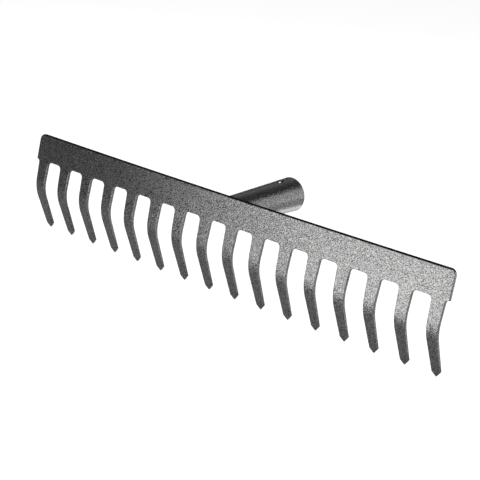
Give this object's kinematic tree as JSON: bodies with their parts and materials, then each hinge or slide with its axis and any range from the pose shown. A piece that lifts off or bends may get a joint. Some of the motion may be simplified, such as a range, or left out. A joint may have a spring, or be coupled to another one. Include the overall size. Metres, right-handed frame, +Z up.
{
  "type": "garden rake head",
  "caption": "Head of a garden rake: a pressed steel comb with bent tines and a tapered, welded socket for a handle, in hammered grey paint.",
  "frame": {"origin": "centre of the head's box in X and Y, on the level of the tine points", "axes": "+X along the comb, +Y along the socket towards the handle, +Z up with the tine points down"},
  "size_m": [0.4066, 0.0892, 0.082],
  "materials": {
    "comb": "hammered grey paint, half gloss",
    "socket": "hammered grey paint, half gloss",
    "socket_weld": "weld bead under the same grey paint"
  },
  "bodies": {
    "root": {"comb": "comb", "socket": "socket", "socket_weld": "socket_weld"}
  },
  "joints": []
}
